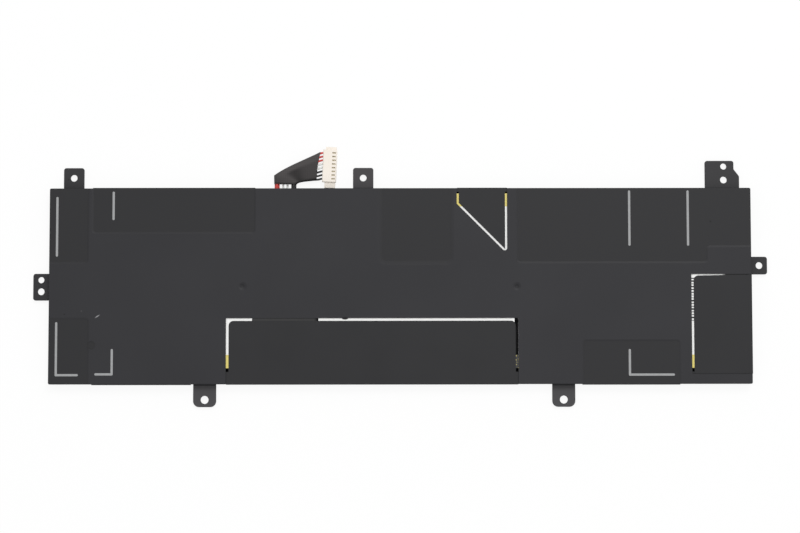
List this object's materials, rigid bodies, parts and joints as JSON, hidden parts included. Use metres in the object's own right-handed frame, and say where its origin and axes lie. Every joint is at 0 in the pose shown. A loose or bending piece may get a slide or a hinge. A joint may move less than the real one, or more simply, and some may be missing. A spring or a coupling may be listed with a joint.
{
  "type": "laptop battery",
  "caption": "Flat black laptop battery pack of pouch cells in a moulded tray with screw ears, folded film flaps and a short lead with an ivory plug.",
  "frame": {"origin": "middle of the flat rear face, under the centre of the tray", "axes": "+X along the pack, +Y towards the edge that the lead leaves, +Z out of the marked face"},
  "size_m": [0.2948, 0.1047, 0.0055],
  "materials": {
    "black_polycarbonate": "fine matt moulded",
    "black_film": "satin film",
    "black_tape": "satin tape",
    "polyimide_tape": "clear yellow, glossy",
    "grey_ink": "matt print",
    "board_laminate": "green solder mask",
    "nickel": "dull plated",
    "solder": "bright solder",
    "moulded_epoxy": "matt moulded",
    "fuse_ceramic": "matt fired",
    "capacitor_ceramic": "matt fired",
    "grey_foam": "closed-cell foam",
    "cloth_tape": "woven acetate tape",
    "ivory_nylon": "satin moulded",
    "tinned_brass": "plated",
    "pouch_foil": "laminated foil",
    "white_sheet": "matt white",
    "adhesive": "translucent white",
    "tab_aluminium": "rolled",
    "red_insulation": "satin extruded",
    "white_insulation": "satin extruded",
    "black_insulation": "satin extruded"
  },
  "bodies": {
    "root": {"adhesive_pad_left": "adhesive", "adhesive_pad_middle": "adhesive", "adhesive_pad_right": "adhesive", "alignment_marks": "grey_ink", "black_wire_1": "black_insulation", "black_wire_2": "black_insulation", "black_wire_3": "black_insulation", "board_foam": "grey_foam", "board_tape": "polyimide_tape", "capacitors": "capacitor_ceramic", "cell_left": "pouch_foil", "cell_middle": "pouch_foil", "cell_right": "pouch_foil", "cell_tape": "polyimide_tape", "circuit_board": "board_laminate", "fuse": "fuse_ceramic", "gauge_chip": "moulded_epoxy", "insulating_sheet_left": "white_sheet", "insulating_sheet_middle": "white_sheet", "insulating_sheet_right": "white_sheet", "lead_wrap": "cloth_tape", "negative_tab_left": "nickel", "negative_tab_middle": "nickel", "negative_tab_right": "nickel", "plug_contacts": "tinned_brass", "plug_housing": "ivory_nylon", "positive_tab_left": "tab_aluminium", "positive_tab_middle": "tab_aluminium", "positive_tab_right": "tab_aluminium", "power_switches": "moulded_epoxy", "rear_film": "black_film", "red_wire_1": "red_insulation", "red_wire_2": "red_insulation", "red_wire_3": "red_insulation", "seam_tape": "black_tape", "sense_resistor": "moulded_epoxy", "signal_wire_1": "white_insulation", "signal_wire_2": "white_insulation", "tray": "black_polycarbonate", "weld_plates": "nickel", "wire_pads": "solder"}
  },
  "joints": []
}
